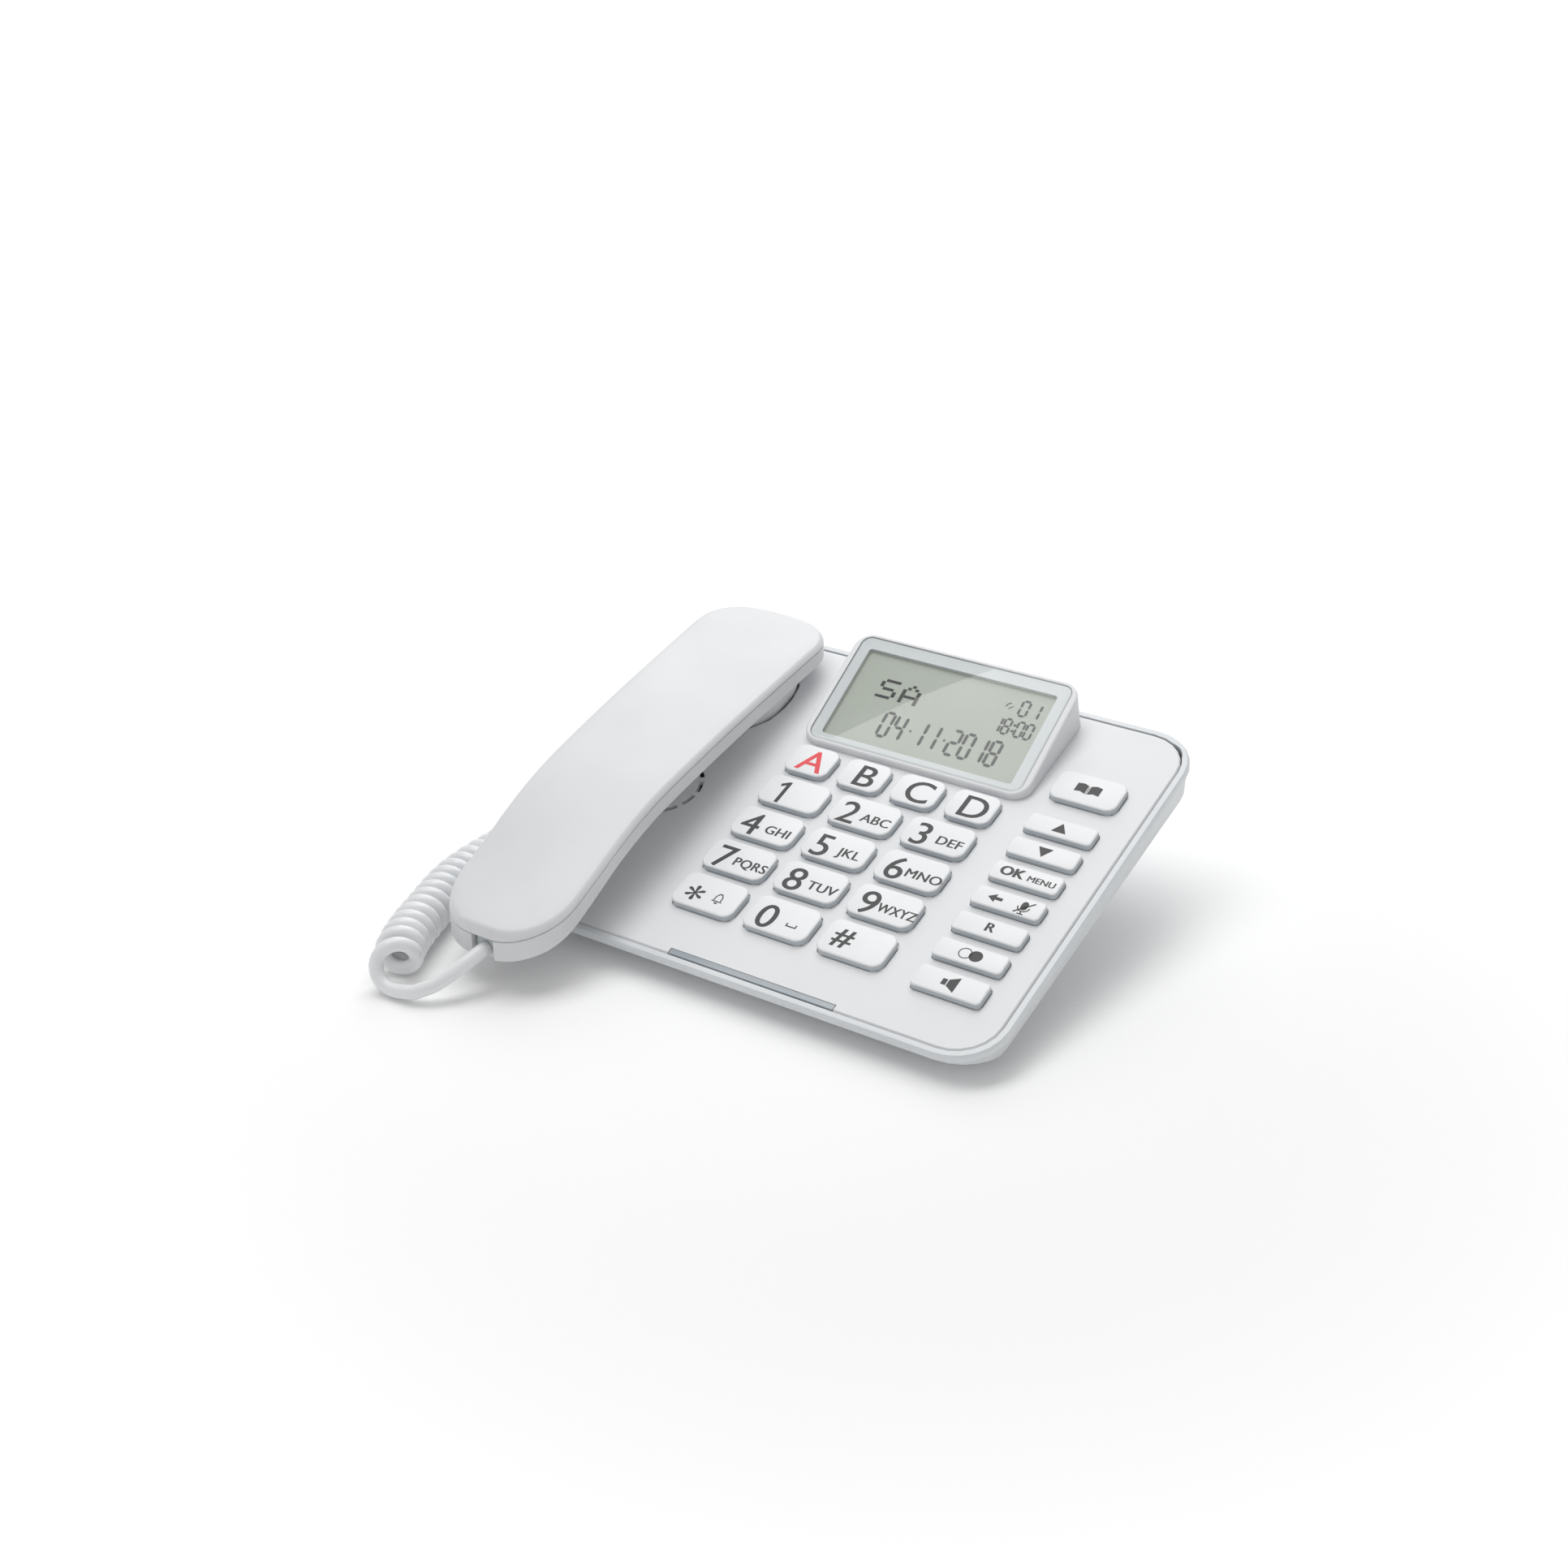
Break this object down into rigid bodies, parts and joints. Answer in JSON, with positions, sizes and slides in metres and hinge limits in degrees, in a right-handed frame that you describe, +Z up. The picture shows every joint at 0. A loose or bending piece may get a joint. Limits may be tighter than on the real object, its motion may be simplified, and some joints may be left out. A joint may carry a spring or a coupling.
{
  "type": "corded desk telephone",
  "caption": "White corded desk telephone with large raised keys, a wedge display hood, an arched handset on the left and a curly handset cord.",
  "frame": {"origin": "on the standing surface, under the middle of the telephone without its cord", "axes": "+Z up, +X to the right of the user, +Y from the user to the back; the handset lies along Y on the -X side"},
  "size_m": [0.2205, 0.2187, 0.0682],
  "materials": {
    "board_green": "solder mask",
    "case_white": "fine matte grain",
    "cord_white": "smooth glossy jacket",
    "driver_black": "matte",
    "handset_white": "fine matte grain",
    "key_white": "smooth satin",
    "lcd_grey": "grey-green reflective display",
    "lens_clear": "clear polished",
    "light_bar_grey": "frosted translucent grey",
    "plug_clear": "clear",
    "rubber_dark": "matte",
    "shell_white": "fine matte grain",
    "silicone_grey": "matte",
    "socket_grey": "matte",
    "steel_plain": "plain"
  },
  "bodies": {
    "base": {"ballast_plate": "steel_plain", "base_cord_jack": "socket_grey", "base_cord_plug": "plug_clear", "case_screw_1": "steel_plain", "case_screw_2": "steel_plain", "case_screw_3": "steel_plain", "case_screw_4": "steel_plain", "cord_coil": "cord_white", "cord_lead_base": "cord_white", "cord_lead_handset": "cord_white", "display_hood": "case_white", "display_lens": "lens_clear", "face_panel": "case_white", "foot_1": "rubber_dark", "foot_2": "rubber_dark", "foot_3": "rubber_dark", "foot_4": "rubber_dark", "keypad_mat": "silicone_grey", "lcd_module": "lcd_grey", "light_bar": "light_bar_grey", "line_jack": "socket_grey", "loudspeaker": "driver_black", "lower_shell": "shell_white", "main_board": "board_green"},
    "handset": {"handset_upper": "handset_white", "handset_lower": "handset_white", "earpiece_receiver": "driver_black", "microphone": "driver_black", "handset_jack": "socket_grey", "handset_cord_plug": "plug_clear"},
    "hook_switch": {"hook_plunger": "key_white"},
    "key_0": {"key_0": "key_white"},
    "key_1": {"key_1": "key_white"},
    "key_2": {"key_2": "key_white"},
    "key_3": {"key_3": "key_white"},
    "key_4": {"key_4": "key_white"},
    "key_5": {"key_5": "key_white"},
    "key_6": {"key_6": "key_white"},
    "key_7": {"key_7": "key_white"},
    "key_8": {"key_8": "key_white"},
    "key_9": {"key_9": "key_white"},
    "key_a": {"key_a": "key_white"},
    "key_b": {"key_b": "key_white"},
    "key_back_mute": {"key_back_mute": "key_white"},
    "key_book": {"key_book": "key_white"},
    "key_c": {"key_c": "key_white"},
    "key_d": {"key_d": "key_white"},
    "key_down": {"key_down": "key_white"},
    "key_hash": {"key_hash": "key_white"},
    "key_ok": {"key_ok": "key_white"},
    "key_recall": {"key_recall": "key_white"},
    "key_redial": {"key_redial": "key_white"},
    "key_speaker": {"key_speaker": "key_white"},
    "key_star": {"key_star": "key_white"},
    "key_up": {"key_up": "key_white"}
  },
  "joints": [
    {"name": "handset_lift", "type": "slide", "parent": "base", "child": "handset", "axis": [0, 0, 1], "range_m": [0, 0.08]},
    {"name": "hook_switch_rise", "type": "slide", "parent": "base", "child": "hook_switch", "axis": [0, -0.2756, 0.9613], "range_m": [0, 0.0034]},
    {"name": "key_0_press", "type": "slide", "parent": "base", "child": "key_0", "axis": [0, 0.2756, -0.9613], "range_m": [0, 0.001], "stiffness_N_per_m": 800, "springref_m": -0.0005},
    {"name": "key_1_press", "type": "slide", "parent": "base", "child": "key_1", "axis": [0, 0.2756, -0.9613], "range_m": [0, 0.001], "stiffness_N_per_m": 800, "springref_m": -0.0005},
    {"name": "key_2_press", "type": "slide", "parent": "base", "child": "key_2", "axis": [0, 0.2756, -0.9613], "range_m": [0, 0.001], "stiffness_N_per_m": 800, "springref_m": -0.0005},
    {"name": "key_3_press", "type": "slide", "parent": "base", "child": "key_3", "axis": [0, 0.2756, -0.9613], "range_m": [0, 0.001], "stiffness_N_per_m": 800, "springref_m": -0.0005},
    {"name": "key_4_press", "type": "slide", "parent": "base", "child": "key_4", "axis": [0, 0.2756, -0.9613], "range_m": [0, 0.001], "stiffness_N_per_m": 800, "springref_m": -0.0005},
    {"name": "key_5_press", "type": "slide", "parent": "base", "child": "key_5", "axis": [0, 0.2756, -0.9613], "range_m": [0, 0.001], "stiffness_N_per_m": 800, "springref_m": -0.0005},
    {"name": "key_6_press", "type": "slide", "parent": "base", "child": "key_6", "axis": [0, 0.2756, -0.9613], "range_m": [0, 0.001], "stiffness_N_per_m": 800, "springref_m": -0.0005},
    {"name": "key_7_press", "type": "slide", "parent": "base", "child": "key_7", "axis": [0, 0.2756, -0.9613], "range_m": [0, 0.001], "stiffness_N_per_m": 800, "springref_m": -0.0005},
    {"name": "key_8_press", "type": "slide", "parent": "base", "child": "key_8", "axis": [0, 0.2756, -0.9613], "range_m": [0, 0.001], "stiffness_N_per_m": 800, "springref_m": -0.0005},
    {"name": "key_9_press", "type": "slide", "parent": "base", "child": "key_9", "axis": [0, 0.2756, -0.9613], "range_m": [0, 0.001], "stiffness_N_per_m": 800, "springref_m": -0.0005},
    {"name": "key_a_press", "type": "slide", "parent": "base", "child": "key_a", "axis": [0, 0.2756, -0.9613], "range_m": [0, 0.001], "stiffness_N_per_m": 800, "springref_m": -0.0005},
    {"name": "key_b_press", "type": "slide", "parent": "base", "child": "key_b", "axis": [0, 0.2756, -0.9613], "range_m": [0, 0.001], "stiffness_N_per_m": 800, "springref_m": -0.0005},
    {"name": "key_back_mute_press", "type": "slide", "parent": "base", "child": "key_back_mute", "axis": [0, 0.2756, -0.9613], "range_m": [0, 0.001], "stiffness_N_per_m": 800, "springref_m": -0.0005},
    {"name": "key_book_press", "type": "slide", "parent": "base", "child": "key_book", "axis": [0, 0.2756, -0.9613], "range_m": [0, 0.001], "stiffness_N_per_m": 800, "springref_m": -0.0005},
    {"name": "key_c_press", "type": "slide", "parent": "base", "child": "key_c", "axis": [0, 0.2756, -0.9613], "range_m": [0, 0.001], "stiffness_N_per_m": 800, "springref_m": -0.0005},
    {"name": "key_d_press", "type": "slide", "parent": "base", "child": "key_d", "axis": [0, 0.2756, -0.9613], "range_m": [0, 0.001], "stiffness_N_per_m": 800, "springref_m": -0.0005},
    {"name": "key_down_press", "type": "slide", "parent": "base", "child": "key_down", "axis": [0, 0.2756, -0.9613], "range_m": [0, 0.001], "stiffness_N_per_m": 800, "springref_m": -0.0005},
    {"name": "key_hash_press", "type": "slide", "parent": "base", "child": "key_hash", "axis": [0, 0.2756, -0.9613], "range_m": [0, 0.001], "stiffness_N_per_m": 800, "springref_m": -0.0005},
    {"name": "key_ok_press", "type": "slide", "parent": "base", "child": "key_ok", "axis": [0, 0.2756, -0.9613], "range_m": [0, 0.001], "stiffness_N_per_m": 800, "springref_m": -0.0005},
    {"name": "key_recall_press", "type": "slide", "parent": "base", "child": "key_recall", "axis": [0, 0.2756, -0.9613], "range_m": [0, 0.001], "stiffness_N_per_m": 800, "springref_m": -0.0005},
    {"name": "key_redial_press", "type": "slide", "parent": "base", "child": "key_redial", "axis": [0, 0.2756, -0.9613], "range_m": [0, 0.001], "stiffness_N_per_m": 800, "springref_m": -0.0005},
    {"name": "key_speaker_press", "type": "slide", "parent": "base", "child": "key_speaker", "axis": [0, 0.2756, -0.9613], "range_m": [0, 0.001], "stiffness_N_per_m": 800, "springref_m": -0.0005},
    {"name": "key_star_press", "type": "slide", "parent": "base", "child": "key_star", "axis": [0, 0.2756, -0.9613], "range_m": [0, 0.001], "stiffness_N_per_m": 800, "springref_m": -0.0005},
    {"name": "key_up_press", "type": "slide", "parent": "base", "child": "key_up", "axis": [0, 0.2756, -0.9613], "range_m": [0, 0.001], "stiffness_N_per_m": 800, "springref_m": -0.0005}
  ],
  "couplings": [
    {"joint": "hook_switch_rise", "follows": "handset_lift", "ratio": 0.0425}
  ]
}
